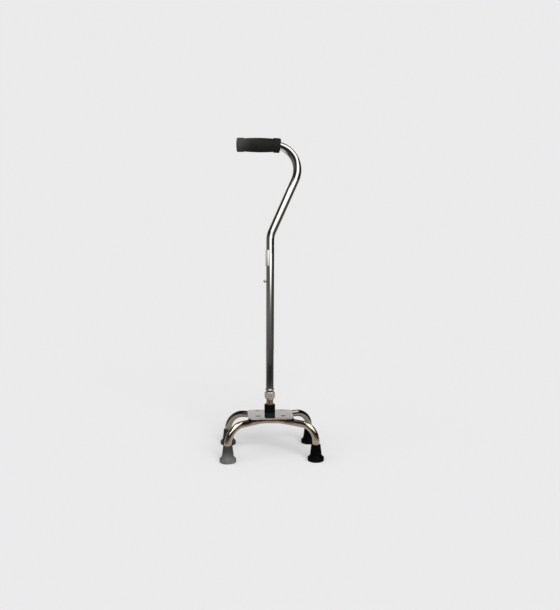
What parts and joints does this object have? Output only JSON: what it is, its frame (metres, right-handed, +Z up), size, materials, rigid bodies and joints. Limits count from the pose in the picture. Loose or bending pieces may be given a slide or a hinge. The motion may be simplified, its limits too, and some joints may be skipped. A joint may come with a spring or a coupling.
{
  "type": "quad cane",
  "caption": "Small-base walking cane: offset handle tube with a moulded grip, telescoping on a stem with snap button and lock nut, over a plate on bowed leg tubes with rubber tips.",
  "frame": {"origin": "on the floor, in the middle of the rectangle through the four tips", "axes": "+Z up along the stem; the grip's closed end points to -X and the neck leans to +X; the longer legs reach to -Y and the shorter ones to +Y"},
  "size_m": [0.2338, 0.1792, 0.7282],
  "materials": {
    "chromed_tube": "bright chrome plating",
    "chromed_plate": "bright chrome plating over pressed steel",
    "satin_steel": "satin nickel",
    "spring_steel": "oiled spring steel",
    "weld_steel": "plated weld",
    "black_rubber": "moulded rubber",
    "grey_rubber": "dusty moulded rubber",
    "grip_rubber": "matt moulded grip",
    "white_plastic": "moulded plastic"
  },
  "bodies": {
    "base": {"base_plate": "chromed_plate", "front_leg_tube": "chromed_tube", "rear_leg_tube": "chromed_tube", "front_tube_weld_fore": "weld_steel", "front_tube_weld_aft": "weld_steel", "rear_tube_weld_fore": "weld_steel", "rear_tube_weld_aft": "weld_steel", "plug_weld_front_left": "weld_steel", "plug_weld_front_right": "weld_steel", "plug_weld_rear_left": "weld_steel", "plug_weld_rear_right": "weld_steel", "foot_tip_front_left": "grey_rubber", "foot_tip_front_right": "black_rubber", "foot_tip_rear_left": "black_rubber", "foot_tip_rear_right": "black_rubber", "tip_washer_front_left": "satin_steel", "tip_washer_front_right": "satin_steel", "tip_washer_rear_left": "satin_steel", "tip_washer_rear_right": "satin_steel", "stem_tube": "chromed_tube", "stem_weld": "weld_steel", "stem_sleeve": "black_rubber", "stem_guide_cap": "white_plastic", "snap_spring": "spring_steel"},
    "button": {"snap_button": "satin_steel"},
    "handle": {"handle_tube": "chromed_tube", "hand_grip": "grip_rubber", "shaft_ferrule": "satin_steel"},
    "collet": {"lock_collet": "white_plastic"},
    "nut": {"lock_nut": "satin_steel"}
  },
  "joints": [
    {"name": "height_slide", "type": "slide", "parent": "base", "child": "handle", "axis": [0, 0, 1], "range_m": [0, 0.2286]},
    {"name": "button_press", "type": "slide", "parent": "base", "child": "button", "axis": [1, 0, 0], "range_m": [0, 0.0078], "stiffness_N_per_m": 1200, "springref_m": -0.002, "deforming": ["snap_spring"]},
    {"name": "collet_travel", "type": "slide", "parent": "handle", "child": "collet", "axis": [0, 0, 1], "range_m": [-0.003, 0]},
    {"name": "lock_nut_turn", "type": "hinge", "parent": "collet", "child": "nut", "pos_m": [0, 0.02365, 0.1296], "axis": [0, 0, 1], "range_deg": [-720, 0]}
  ],
  "couplings": [
    {"joint": "collet_travel", "follows": "lock_nut_turn", "m_per_rad": 0.00023873}
  ]
}
